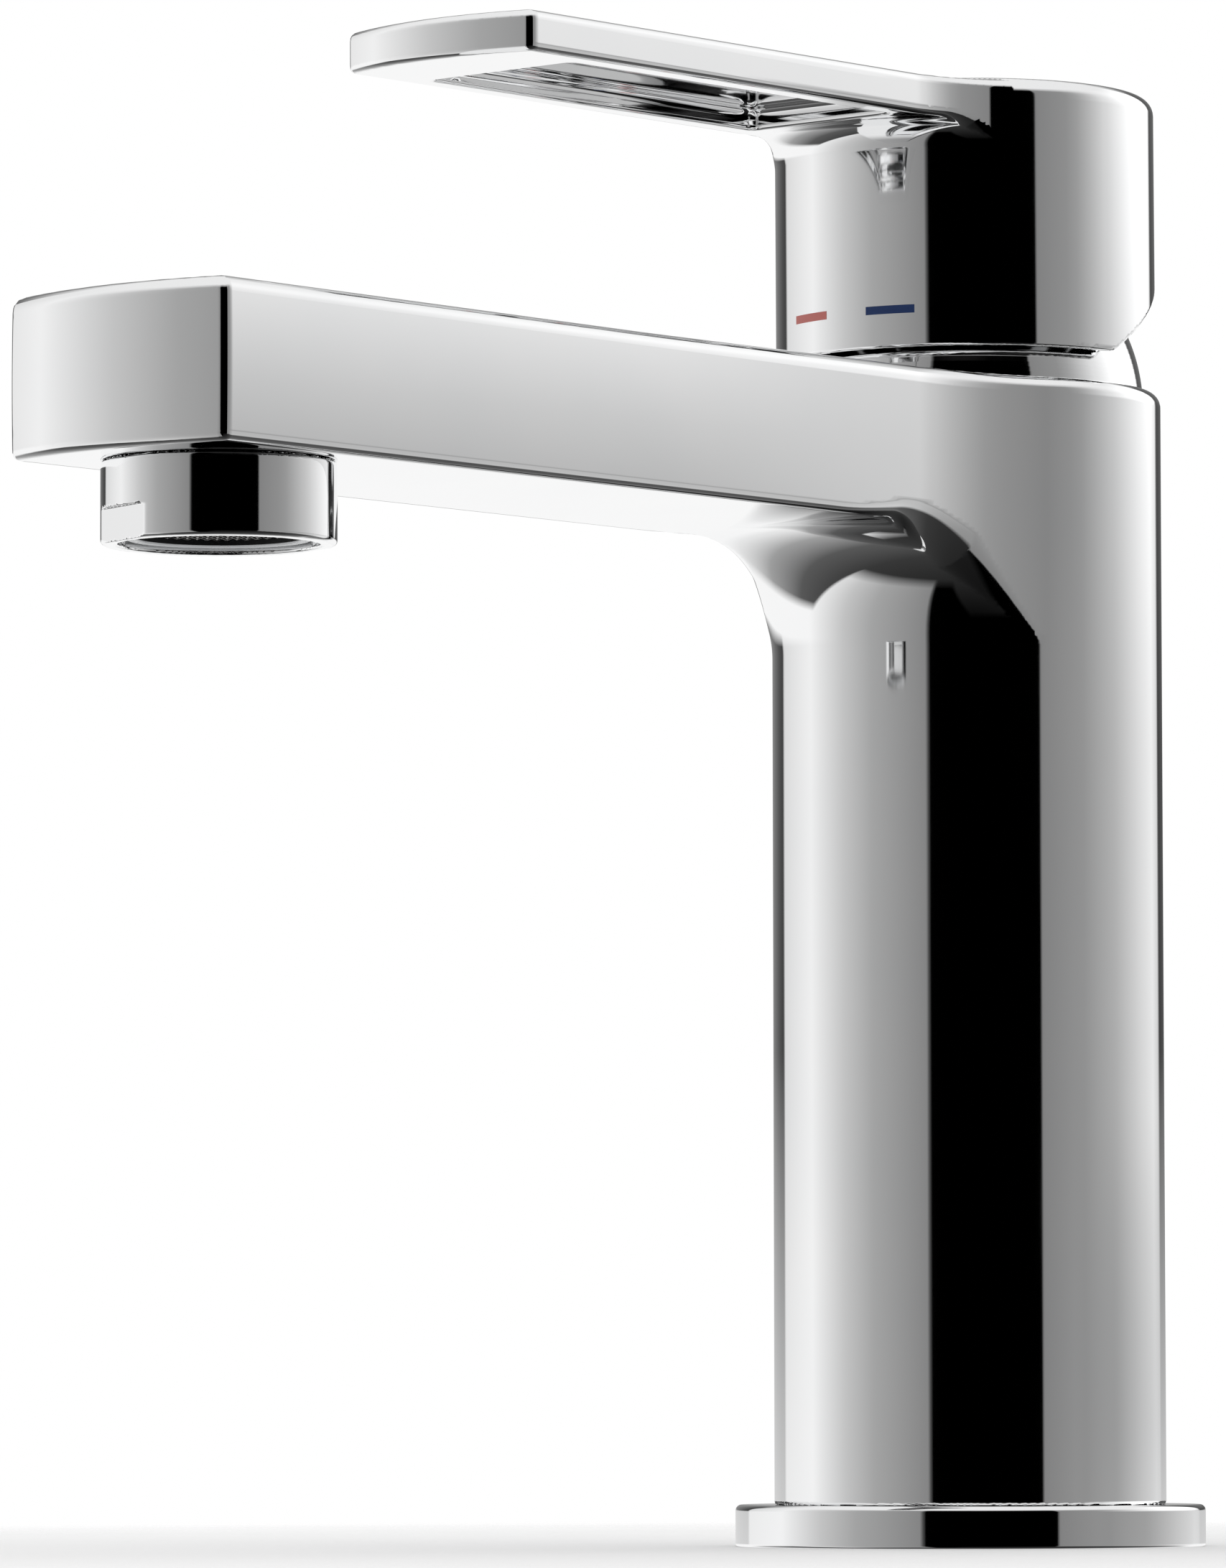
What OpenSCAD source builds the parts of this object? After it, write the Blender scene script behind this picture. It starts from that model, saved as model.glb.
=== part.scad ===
// Single-lever basin mixer tap: a round column with a long flat spout, a flat lever handle on a
// round skirt, a ceramic-disc cartridge inside and a screwed-in aerator under the spout's end.
//
// Millimetres, +Z up. The origin is on the column's axis, on the deck that the tap stands on.
// The spout and the lever point along -Y. +X is the cold side.

/* [Column and base] */
// Diameter of the round column
column_d = 45; // [44:0.5:50]
// Height of the column's flat top above the deck
column_top = 133; // [130:1:145]
// Diameter of the base ring
base_d = 54; // [52:1:62]
// Height of the base ring
base_h = 4.8; // [4:0.2:8]
// Height of the open bay inside the column, for the stud and the two hoses
bay_h = 58; // [40:1:60]

/* [Spout] */
// Width of the spout
spout_w = 31.4; // [30:0.2:36]
// Reach of the spout's tip from the column's axis
spout_reach = 144.2; // [135:0.2:160]
// Height of the spout's underside above the deck
spout_z = 115.3; // [113:0.1:117]
// Thickness of the spout
spout_t = 17.4; // [16:0.2:18]
// Radius of the spout's curved end, seen from above
spout_end_r = 48; // [35:1:80]
// Radius of the hollow corner under the spout, where it meets the column
under_fillet_r = 13; // [8:1:16]

/* [Aerator] */
// Distance of the aerator's axis from the column's axis
aerator_reach = 126; // [120:1:132]
// Outer diameter of the aerator's collar
collar_d = 25; // [24.5:0.1:26]
// Height of the collar below the spout
collar_h = 8.8; // [6:0.2:12]
// Diameter of the wire mesh that shows from below
mesh_d = 17.6; // [15:0.2:18]
// Spacing of the mesh's wires
mesh_pitch = 1.1; // [0.8:0.1:2]

/* [Handle] */
// Outer diameter of the handle's round skirt
skirt_d = 43.9; // [43.6:0.1:45]
// Height of the handle's flat top above the deck
handle_top = 167.2; // [164:0.1:170]
// Reach of the lever's tip from the column's axis
lever_reach = 93.6; // [85:0.2:110]
// Width of the lever
lever_w = 27; // [22:0.2:30]
// Thickness of the lever at its rim
lever_t = 5; // [4:0.2:6]
// Radius of the hollow corners between the lever's sides and the skirt
lever_fillet_r = 20; // [12:1:22]
// Angle by which the closed lever dips towards its tip
lever_dip = 0.3; // [0:0.1:0.7]
// Depth of the pocket in the lever's underside
pocket_depth = 2.4; // [1:0.1:2.6]
// Angle of the skirt's raised rear edge
rear_cut_angle = 31.5; // [29:0.5:33]

/* [Hot and cold marks] */
// Height of each mark's middle above the deck
mark_z = 140.7; // [139:0.1:146]
// Height of each mark
mark_h = 0.95; // [0.6:0.05:2]
// Angle that each mark spans round the skirt
mark_angle = 15.8; // [8:0.2:24]
// Angle of the gap between the two marks
mark_gap_angle = 15.2; // [4:0.2:24]

/* [Cartridge] */
// Bore of the cartridge's seat in the column
seat_d = 35.2; // [35.2:0.1:35.4]
// Depth of the seat's floor below the column's top
seat_depth = 32; // [32:0.5:33]
// Width of the stem's square end
stem_w = 8; // [7:0.5:8]
// Distance from the stem's pivot down to its drive roller
drive_arm = 9.5; // [9.3:0.1:9.6]

/* [Hidden] */

$fn = 96;
far = 400;                   // longer than the tap, for cutting tools
gap = 0.05;                  // clearance between parts that are fitted together
run = 0.3;                   // clearance between parts that move past each other

column_r = column_d / 2;
base_r = base_d / 2;
skirt_r = skirt_d / 2;
seat_r = seat_d / 2;
collar_r = collar_d / 2;

spigot_r = column_r - 2;     // the column's foot inside the base ring
bay_r = column_r - 3.4;
gasket_h = 1.6;
gasket_r = [bay_r + 2.2, base_r - 2.2];

spout_top = spout_z + spout_t;
edge_soft = 1.2;             // chamfer that softens the spout's and the lever's rims
side_fillet_r = 38;          // hollow corner between the spout's side and the column
lever_end_r = 38;

// Water passages
inlet_xy = [6.5, -3];        // the two inlets lie at plus and minus this X
inlet_r = 3;
hose_thread_r = 4.46;        // core of an M10 x 1 thread
hose_thread_depth = 12;
stud_y = 11;
stud_thread_r = 3.32;        // core of an M8 thread
stud_thread_depth = 14;
riser_r = 3.4;               // slanted bore from the seat up into the spout
channel_w = 26;
channel_h = 10.6;
channel_z = spout_z + 3.2;

// Aerator
aerator_y = -aerator_reach;
aerator_bore_r = 12;         // M24 x 1 thread
aerator_bore_h = 8;
insert_r = 10.65;
ledge_r = 10;                // the collar's inner ledge, which carries the insert
ledge_z = spout_z - collar_h + 1.3;
ledge_t = 1;
flat_from_axis = 11.6;       // the collar's two wrench flats
flat_h = 3.6;
flat_turn = -17;             // angle at which the collar happens to be screwed home

// Cartridge levels, from the seat's floor upwards
seat_z = column_top - seat_depth;
base_top = seat_z + 6.1;
fixed_disc_z = base_top + 0.05;
disc_t = 3.5;
moving_disc_z = fixed_disc_z + disc_t + 0.1;
moving_disc_t = 4.5;
carrier_z = moving_disc_z + moving_disc_t;
housing_z = base_top + 0.1;
housing_shoulder_z = column_top - 8.5;
housing_top = column_top - 4;
pivot_z = column_top - 1.6;
roller_z = pivot_z - drive_arm;
roller_r = 2.7;
carrier_top = roller_z + 0.1;
guide_z = carrier_top + 0.6;
guide_flange_top = housing_top - 2.9;
guide_top = column_top + 4.4;
chamber_r = 15;              // inside of the cartridge's housing
disc_r = 10.6;
port_r = 2.6;
outlet_y = 3.4;
nut_thread_r = seat_r + 0.85;
nut_hex_w = 31;              // across flats
nut_hex_h = 3.8;
pin_r = 1.5;
slide_y = drive_arm * sin(lever_dip);  // where the dipped stem holds the slide

// Dome collar
dome_r = 20.55;              // its sphere is centred on the pivot
dome_mouth_r = 13;           // opening that the stem moves in

// Handle
skirt_z = column_top + 3.4;
skirt_wall_r = 20.85;
plate_t = 4;
hub_w = 15;
hub_z = pivot_z + dome_r + 0.6;
insert_w = 11;
stem_top = handle_top - 7.5;
screw_z = handle_top - 10.2;
screw_r = 2.45;
plug_r = 3;
mark_depth = 0.4;

// ---- Shared shapes ----

// A round ring or tube between two heights
module ring(outer, inner, z0, z1) {
  translate([0, 0, z0]) difference() {
    cylinder(r = outer, h = z1 - z0);
    translate([0, 0, -1]) cylinder(r = inner, h = z1 - z0 + 2);
  }
}

// A round bar or drill between two heights
module bar(radius, z0, z1) {
  translate([0, 0, z0]) cylinder(r = radius, h = z1 - z0);
}

// A box centred on the axis across X, from y0 to y1 and from z0 to z1
module slab(width, y0, y1, z0, z1) {
  translate([-width / 2, y0, z0]) cube([width, y1 - y0, z1 - z0]);
}

// A round bar along Y
module bar_y(radius, y0, y1, z) {
  translate([0, y0, z]) rotate([-90, 0, 0]) cylinder(r = radius, h = y1 - y0);
}

// A round bar along X, centred
module bar_x(radius, length, y, z) {
  translate([-length / 2, y, z]) rotate([0, 90, 0]) cylinder(r = radius, h = length);
}

// A straight flat arm along -Y with chamfered rims; its end is a shallow arc
module soft_arm(width, reach, end_r, z0, z1, soft) {
  function softened(outer) = [
    [0, z0], [outer - soft, z0], [outer, z0 + soft], [outer, z1 - soft], [outer - soft, z1], [0, z1]
  ];
  right = softened(width / 2);
  left = [for (k = [len(right) - 1 : -1 : 0]) [-right[k][0], right[k][1]]];
  intersection() {
    rotate([90, 0, 0]) linear_extrude(reach) polygon(concat(right, left));
    union() {
      translate([0, end_r - reach, 0]) rotate_extrude() polygon(softened(end_r));
      slab(width + 2, end_r - reach, 1, z0 - 1, z1 + 1);
    }
  }
}

// Hollow corners where an arm's two sides run into a round body
module side_fillets(round_r, width, fillet_r, z0, z1) {
  cx = width / 2 + fillet_r;
  cy = -sqrt(pow(round_r + fillet_r, 2) - pow(cx, 2));
  touch = round_r / (round_r + fillet_r);
  for (side = [-1, 1]) {
    translate([0, 0, z0]) difference() {
      linear_extrude(z1 - z0) polygon([
        [0, 0], [side * cx * touch, cy * touch], [side * cx, cy], [side * width / 2, cy], [0, cy]
      ]);
      translate([side * cx, cy, -1]) cylinder(r = fillet_r, h = z1 - z0 + 2);
    }
  }
}

// Copies to the left and to the right
module both_sides(x) {
  for (side = [-1, 1]) {
    translate([side * x, 0, 0]) children();
  }
}

// The lever's own parts dip together about the stem's pivot
module dipped() {
  translate([0, 0, pivot_z]) rotate([lever_dip, 0, 0]) translate([0, 0, -pivot_z]) children();
}

// ---- Body and base ----

// The web under the spout's root, hollowed to a quarter round
module under_web() {
  front = column_r + under_fillet_r;
  difference() {
    slab(spout_w, -front, 0, spout_z - under_fillet_r, spout_z + 1);
    bar_x(under_fillet_r, spout_w + 2, -front, spout_z - under_fillet_r);
  }
}

// Hose bay, threads, water ways and the cartridge's seat
module body_hollows() {
  bar(bay_r, -1, bay_h);
  both_sides(inlet_xy[0]) translate([0, inlet_xy[1], 0]) {
    bar(hose_thread_r, bay_h - 1, bay_h + hose_thread_depth);
    bar(inlet_r, bay_h, seat_z + 1);
  }
  translate([0, stud_y, 0]) bar(stud_thread_r, bay_h - 1, bay_h + stud_thread_depth);
  bar(seat_r, seat_z, column_top + 1);
  bar(nut_thread_r + gap, housing_shoulder_z, column_top + 1);
  riser_start = [-seat_r + 2, seat_z + 9.5];
  riser_end = [-seat_r - 15, channel_z + 4.5];
  run_yz = riser_end - riser_start;
  translate([0, riser_start[0], riser_start[1]])
    rotate([90 - atan2(run_yz[1], -run_yz[0]), 0, 0])
      cylinder(r = riser_r, h = norm(run_yz));
  slab(channel_w, aerator_y - 6, -seat_r - 12, channel_z, channel_z + channel_h);
  translate([0, aerator_y, 0]) bar(aerator_bore_r, spout_z - 1, spout_z + aerator_bore_h);
}

module tap_body() color("silver") difference() {
  union() {
    bar(column_r, base_h, column_top);
    bar(spigot_r, gasket_h + 0.4, base_h + 1);
    soft_arm(spout_w, spout_reach, spout_end_r, spout_z, spout_top, edge_soft);
    side_fillets(column_r, spout_w, side_fillet_r, spout_z, spout_top);
    under_web();
  }
  body_hollows();
}

// Round foot plate with a rounded rim, and a groove below for its gasket
module base_ring() color("silver") {
  soft = 0.7;
  rotate_extrude() difference() {
    translate([spigot_r + gap, 0]) square([base_r - spigot_r - gap, base_h]);
    translate([base_r - soft, base_h - soft]) difference() {
      square(soft + 1);
      circle(r = soft, $fn = 48);
    }
    translate([gasket_r[0], -1]) square([gasket_r[1] - gasket_r[0], gasket_h + 1]);
  }
}

module base_gasket() color("dimgray") ring(gasket_r[1] - gap, gasket_r[0] + gap, 0, gasket_h);

// ---- Cartridge and its fixings ----

// Bright ball-shaped cap over the nut, centred on the stem's pivot; it grips the nut's corners
module dome_collar() color("silver") {
  grip_r = nut_hex_w / 2 / cos(30) + gap;
  rotate_extrude() difference() {
    intersection() {
      translate([0, pivot_z]) circle(r = dome_r);
      translate([dome_mouth_r, column_top]) square([dome_r, dome_r]);
    }
    difference() {
      translate([0, pivot_z]) circle(r = dome_r - 1);
      translate([grip_r, column_top]) square([dome_r, 1.2]);
    }
  }
}

// Threaded ring that clamps the cartridge down into its seat
module cartridge_nut() color("goldenrod") difference() {
  union() {
    bar(nut_thread_r, housing_shoulder_z, column_top);
    translate([0, 0, column_top])
      cylinder(r = nut_hex_w / 2 / cos(30), h = nut_hex_h, $fn = 6);
  }
  bar(seat_r - 1.5, housing_shoulder_z - 1, housing_top + 0.4);
  bar(seat_r - 4.2, housing_top, column_top + 10);
}

// Moulded outer case of the cartridge
module cartridge_housing() color("whitesmoke") difference() {
  union() {
    bar(seat_r - 0.8, housing_z, housing_shoulder_z - 2);
    bar(seat_r - 0.2, housing_shoulder_z - 8, housing_shoulder_z);
    bar(seat_r - 1.8, housing_shoulder_z - 1, housing_top);
  }
  difference() {
    bar(chamber_r, housing_z - 1, guide_flange_top + run);
    both_sides(chamber_r) slab(1.6, -1, 1, housing_z - 1, fixed_disc_z + disc_t);
  }
  bar(12.4, housing_z, housing_top + 1);
  ring(seat_r + 1, seat_r - 1.9, housing_shoulder_z - 5, housing_shoulder_z - 2.8);
}

// Seals the mixed-water chamber above the cartridge's side outlet
module housing_oring() color("dimgray") translate([0, 0, housing_shoulder_z - 3.9])
  rotate_extrude() translate([seat_r - 0.97, 0]) circle(r = 0.9, $fn = 32);

// Bottom plate with two inlet ports and a side outlet that faces the column's wall
module cartridge_base() color("whitesmoke") difference() {
  bar(seat_r - 1, seat_z + 0.2, base_top);
  both_sides(inlet_xy[0]) translate([0, inlet_xy[1], 0]) {
    bar(inlet_r, seat_z - 1, base_top + 1);
    bar(inlet_r + 1.9, seat_z - 1, seat_z + 1.8);
    bar(port_r + 1.5, base_top - 1.2, base_top + 1);
  }
  translate([0, outlet_y, 0]) {
    bar(port_r + 0.2, seat_z + 3, base_top + 1);
    bar(port_r + 1.5, base_top - 1.2, base_top + 1);
  }
  slab(9, outlet_y, seat_r, seat_z + 2.4, seat_z + 4.6);
}

// Two rubber rings between the seat's floor and the cartridge
module inlet_seals() color("dimgray")
  both_sides(inlet_xy[0]) translate([0, inlet_xy[1], 0])
    ring(inlet_r + 1.8, inlet_r + 0.1, seat_z, seat_z + 1.8);

// Three rubber rings between the bottom plate and the fixed disc
module port_seals() color("dimgray") {
  both_sides(inlet_xy[0]) translate([0, inlet_xy[1], 0])
    ring(port_r + 1.4, inlet_r + 0.1, base_top - 1.2, base_top);
  translate([0, outlet_y, 0]) ring(port_r + 1.4, inlet_r + 0.1, base_top - 1.2, base_top);
}

// Lower ceramic disc, keyed to the housing by two notches
module fixed_disc() color("ivory") difference() {
  bar(chamber_r - run, fixed_disc_z, fixed_disc_z + disc_t);
  both_sides(inlet_xy[0]) translate([0, inlet_xy[1], 0]) bar(port_r, seat_z, column_top);
  translate([0, outlet_y, 0]) bar(port_r, seat_z, column_top);
  both_sides(chamber_r) slab(2, -1.2, 1.2, seat_z, column_top);
}

// Upper ceramic disc: the pocket below joins the inlets to the outlet as the disc slides
module moving_disc() color("ivory") translate([0, slide_y, 0]) difference() {
  bar(disc_r, moving_disc_z, carrier_z);
  intersection() {
    bar(disc_r - 1.4, moving_disc_z - 1, moving_disc_z + 2.2);
    slab(18, 0.3, disc_r, moving_disc_z - 2, moving_disc_z + 3);
  }
  both_sides(6) bar(1.3, carrier_z - 1.6, carrier_z + 1);
}

// Slide that carries the upper disc; the stem's roller sits in its slot
module disc_carrier() color("lightsteelblue") translate([0, slide_y, 0]) difference() {
  union() {
    intersection() {
      bar(disc_r, carrier_z + gap, carrier_top);
      slab(18.4, -far, far, 0, far);
    }
    both_sides(6) bar(1.25, carrier_z - 1.5, carrier_z + 1);
  }
  slab(7, -roller_r - 0.15, roller_r + 0.15, roller_z - roller_r - 0.3, column_top);
}

// Turning guide that holds the stem's pin and steers the slide
module swivel_guide() color("lightsteelblue") difference() {
  union() {
    bar(chamber_r - run, guide_z, guide_flange_top);
    bar(12, guide_z + 1, guide_top);
    both_sides(11) slab(3, -6, 6, carrier_top - 3.6, guide_z + 1);
  }
  slab(stem_w + 2 * run, -4.3, 9, pivot_z, column_top + 10);
  slab(stem_w + 2 * run, -8, 4.6, 0, pivot_z);
  bar_x(4.3, stem_w + 2 * run, 0, pivot_z);
  bar_x(pin_r + 0.01, far, 0, pivot_z);
  ring(chamber_r + 1, chamber_r - 1.7, guide_z + 0.9, guide_z + 2.5);
}

// Rubber ring round the turning guide
module swivel_oring() color("dimgray") translate([0, 0, guide_z + 1.7])
  rotate_extrude() translate([chamber_r - 0.9, 0]) circle(r = 0.75, $fn = 32);

// Steel pin that the stem tilts on
module stem_pin() color("gray") bar_x(pin_r, 23, 0, pivot_z);

// Square stem with a pivot boss and a drive roller at its lower end
module stem() color("darkgray") dipped() difference() {
  union() {
    slab(stem_w, -stem_w / 2, stem_w / 2, pivot_z, stem_top);
    bar_x(stem_w / 2, stem_w, 0, pivot_z);
    slab(4.4, -1.7, 1.7, roller_z, pivot_z);
    bar_x(roller_r, 6.4, 0, roller_z);
  }
  bar_x(pin_r + 0.06, far, 0, pivot_z);
}

// Plastic sleeve between the stem and the handle's hub
module stem_insert() color("whitesmoke") dipped() difference() {
  slab(insert_w, -insert_w / 2, insert_w / 2, hub_z + 0.5, stem_top + 1);
  inner = stem_w + 2 * gap;
  slab(inner, -inner / 2, inner / 2, hub_z - 1, stem_top + gap);
  bar_y(screw_r + 0.1, 0, hub_w, screw_z);
}

// ---- Handle ----

// Round skirt with a softened top edge
module skirt_shell() {
  soft = 2;
  rotate_extrude() difference() {
    translate([0, skirt_z]) square([skirt_r, handle_top - skirt_z]);
    translate([0, skirt_z - 1]) square([skirt_wall_r, handle_top - plate_t - skirt_z + 1]);
    translate([skirt_r - soft, handle_top - soft]) difference() {
      square(soft + 1);
      circle(r = soft, $fn = 48);
    }
  }
}

// Shallow curved recess for one colour mark; side is -1 for hot and 1 for cold
module mark_shape(side, proud) {
  inner_edge = mark_gap_angle / 2;
  outer_edge = inner_edge + mark_angle;
  reach = skirt_r + 10;
  intersection() {
    ring(skirt_r + proud, skirt_r - mark_depth, mark_z - mark_h / 2, mark_z + mark_h / 2);
    linear_extrude(far) polygon([
      [0, 0],
      [side * reach * sin(inner_edge), -reach * cos(inner_edge)],
      [side * reach * sin(outer_edge), -reach * cos(outer_edge)]
    ]);
  }
}

module handle() color("silver") dipped() difference() {
  union() {
    skirt_shell();
    difference() {
      union() {
        soft_arm(lever_w, lever_reach, lever_end_r, handle_top - lever_t, handle_top - 0.4, 0.8);
        side_fillets(skirt_r, lever_w, lever_fillet_r, handle_top - lever_t, handle_top - 0.4);
      }
      bar(skirt_wall_r, 0, handle_top - plate_t);
    }
    slab(hub_w, -hub_w / 2, hub_w / 2, hub_z, handle_top - plate_t + 1);
    bar_y(4.4, hub_w / 2 - 1, skirt_wall_r + 0.3, screw_z);
  }
  // Pocket in the lever's underside
  slab(lever_w - 6, -lever_reach + 12.5, -skirt_r - 4, 0, handle_top - lever_t + pocket_depth);
  // Raised rear edge, which lets the handle tip back
  translate([0, 0, skirt_z]) rotate([rear_cut_angle, 0, 0])
    translate([-far / 2, 0, -far]) cube([far, far, far]);
  // Square socket, screw hole and plug seat
  socket = insert_w + 2 * gap;
  slab(socket, -socket / 2, socket / 2, hub_z - 1, stem_top + 1 + gap);
  bar_y(screw_r + gap, 0, far, screw_z);
  bar_y(plug_r, skirt_r - 2, far, screw_z);
  mark_shape(-1, 1);
  mark_shape(1, 1);
}

module set_screw() color("dimgray") dipped() difference() {
  bar_y(screw_r, stem_w / 2 + gap, 14, screw_z);
  translate([0, 11, screw_z]) rotate([-90, 0, 0])
    cylinder(r = 1.25 / cos(30), h = 10, $fn = 6);
}

// Push-in plug, flush with the skirt's curve
module screw_plug() color("silver") dipped() intersection() {
  bar_y(plug_r - gap, skirt_r - 2 + gap, skirt_r + 5, screw_z);
  bar(skirt_r, skirt_z, handle_top);
}

module hot_mark() color("indianred") dipped() mark_shape(-1, 0.03);
module cold_mark() color("midnightblue") dipped() mark_shape(1, 0.03);

// ---- Aerator ----

module at_aerator() {
  translate([0, aerator_y, 0]) children();
}

// Screwed collar with two wrench flats; it holds the insert from below
module aerator_collar() color("silver") at_aerator() difference() {
  union() {
    bar(aerator_bore_r - gap, spout_z - 1, spout_z + 6);
    bar(collar_r, spout_z - collar_h + 0.6, spout_z - 0.1);
    translate([0, 0, spout_z - collar_h]) cylinder(r1 = collar_r - 0.6, r2 = collar_r, h = 0.6);
  }
  bar(insert_r + gap, 0, ledge_z);
  bar(ledge_r, 0, far);
  bar(insert_r + gap, ledge_z + ledge_t, far);
  rotate([0, 0, flat_turn]) for (side = [-1, 1]) {
    translate([0, side * (flat_from_axis + 5), spout_z - collar_h])
      cube([far, 10, 2 * flat_h], center = true);
  }
}

module aerator_gasket() color("dimgray") at_aerator()
  ring(aerator_bore_r - 0.1, insert_r - 1.2, spout_z + 6, spout_z + aerator_bore_h);

// Small upright holes, evenly spaced on a circle
module hole_ring(count, ring_r, hole_r) {
  for (turn = [0 : 360 / count : 359]) {
    rotate([0, 0, turn]) translate([ring_r, 0, 0]) bar(hole_r, spout_z - 1, spout_z + 9);
  }
}

// Plastic mixing insert with its air slots; the mesh is seated in its lower end
module aerator_insert() color("gainsboro") at_aerator() difference() {
  union() {
    bar(ledge_r - 0.1, spout_z - collar_h + 0.6, spout_z);
    bar(insert_r, ledge_z + ledge_t, spout_z + 5.2);
  }
  bar(mesh_d / 2, 0, spout_z - collar_h + 3);
  bar(mesh_d / 2 - 1, 0, spout_z + 1);
  bar(mesh_d / 2 + 0.6, spout_z + 4.2, far);
  hole_ring(12, 6, 0.8);
}

// Domed sieve that catches grit at the aerator's inlet
module aerator_strainer() color("lightgray") at_aerator() {
  shell_r = 26;
  centre_z = spout_z + 6.6 - shell_r;
  difference() {
    union() {
      ring(mesh_d / 2 + 0.5, mesh_d / 2 - 1.6, spout_z + 4.3, spout_z + 5.1);
      translate([0, 0, centre_z]) rotate_extrude() intersection() {
        difference() {
          circle(r = shell_r);
          circle(r = shell_r - 0.8);
        }
        square([mesh_d / 2 - 1, far]);
      }
    }
    hole_ring(6, 2.6, 0.6);
    hole_ring(12, 5.2, 0.6);
  }
}

// Woven outlet mesh: two crossed layers of wires in a thin rim
module aerator_mesh() color("gray") at_aerator() {
  mesh_z = spout_z - collar_h + 1.3;
  rim = 0.5;
  wire = 0.3;
  rows = floor((mesh_d / 2 - rim) / mesh_pitch);
  ring(mesh_d / 2 - gap, mesh_d / 2 - rim, mesh_z, mesh_z + 2 * wire);
  for (layer = [0, 1], row = [-rows : rows]) {
    half_chord = sqrt(pow(mesh_d / 2 - rim / 2, 2) - pow(row * mesh_pitch, 2));
    rotate([0, 0, 45 + 90 * layer])
      translate([-half_chord, row * mesh_pitch - wire / 2, mesh_z + layer * wire])
        cube([2 * half_chord, wire, wire]);
  }
}

tap_body();
base_ring();
base_gasket();
dome_collar();
cartridge_nut();
cartridge_housing();
housing_oring();
cartridge_base();
inlet_seals();
port_seals();
fixed_disc();
moving_disc();
disc_carrier();
swivel_guide();
swivel_oring();
stem_pin();
stem();
stem_insert();
handle();
set_screw();
screw_plug();
hot_mark();
cold_mark();
aerator_collar();
aerator_gasket();
aerator_insert();
aerator_strainer();
aerator_mesh();
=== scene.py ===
"""Chrome single-lever basin mixer tap: its fine meshes, finishes, studio and camera.

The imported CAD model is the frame. Each chrome form is rebuilt here from a rounded distance field
or a turned profile, in millimetres, and rides on the body of the CAD node that it replaces.
"""
import math
from functools import reduce

import bpy
import numpy as np
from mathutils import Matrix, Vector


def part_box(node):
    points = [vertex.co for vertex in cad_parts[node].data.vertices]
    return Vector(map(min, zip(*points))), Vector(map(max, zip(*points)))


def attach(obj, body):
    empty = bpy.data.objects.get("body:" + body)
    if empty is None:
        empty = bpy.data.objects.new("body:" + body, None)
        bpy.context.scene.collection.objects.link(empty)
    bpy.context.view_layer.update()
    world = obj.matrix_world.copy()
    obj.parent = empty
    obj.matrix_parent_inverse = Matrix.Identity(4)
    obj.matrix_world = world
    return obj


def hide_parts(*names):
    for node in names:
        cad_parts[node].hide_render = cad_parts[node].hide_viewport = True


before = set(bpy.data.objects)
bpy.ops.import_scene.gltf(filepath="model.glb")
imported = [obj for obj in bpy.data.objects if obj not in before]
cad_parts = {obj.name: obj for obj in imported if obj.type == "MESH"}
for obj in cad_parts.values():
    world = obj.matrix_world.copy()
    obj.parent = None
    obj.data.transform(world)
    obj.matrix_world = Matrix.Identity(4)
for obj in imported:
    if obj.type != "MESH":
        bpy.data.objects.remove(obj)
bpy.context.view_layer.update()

import openvdb
from mathutils import Matrix, Vector

MM = 0.001


def corners(node):
    """Lowest and highest corner of a CAD node, in millimetres."""
    low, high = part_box(node)
    return np.array(low) / MM, np.array(high) / MM


# ---- Sizes in millimetres: read from the frame where a node's box gives them ----

body_low, body_high = corners("tap_body")
ring_high = corners("base_ring")[1]
dome_high = corners("dome_collar")[1]
collar_low, collar_high = corners("aerator_collar")
gauze_low, gauze_high = corners("aerator_mesh")
insert_low, insert_high = corners("aerator_insert")

# Column and spout
COLUMN_R = body_high[0]
COLUMN_TOP = body_high[2]
SPOUT_REACH = -body_low[1]
SPOUT_HALF_W = 15.7
SPOUT_TOP = COLUMN_TOP - 0.3
SPOUT_Z = SPOUT_TOP - 17.4
SPOUT_END_R = 48.0
SPOUT_RISE_Y = (-75.0, -25.0)      # where the spout's top rises to the column's
SPOUT_RADII = (1.7, 1.0, 0.8)      # top rim, bottom rim, front corners
SPOUT_CROWN = 0.0014               # the sides bulge: inset per square of height from their middle
COLUMN_RIM = 1.7
SIDE_FILLET = 38.0                 # in plan, between the spout's sides and the column
UNDER_FILLET = 13.0
SPOUT_ROOT_SOFT = 2.0              # the bottom rim gets this much rounder towards the column
SPOUT_ROOT_Y = (-42.0, -24.0)

# Inside the column: hose bay, cartridge's seat, nut's thread, inlets and stud hole
BAY_R, BAY_TOP = 19.1, 58.0
SEAT_R, SEAT_Z = 17.6, COLUMN_TOP - 32.0
NUT_THREAD_R = SEAT_R + 0.9
NUT_THREAD_Z = COLUMN_TOP - 8.5
INLET_X, INLET_Y, INLET_R = 6.5, -3.0, 3.0
HOSE_THREAD_R, HOSE_THREAD_TOP = 4.46, BAY_TOP + 12.0
STUD_Y, STUD_R, STUD_TOP = 11.0, 3.32, BAY_TOP + 14.0
SPIGOT_R = COLUMN_R - 2.0          # below the base ring's top
PAST = 9.0                         # how far a cutting tool reaches past the metal

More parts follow.
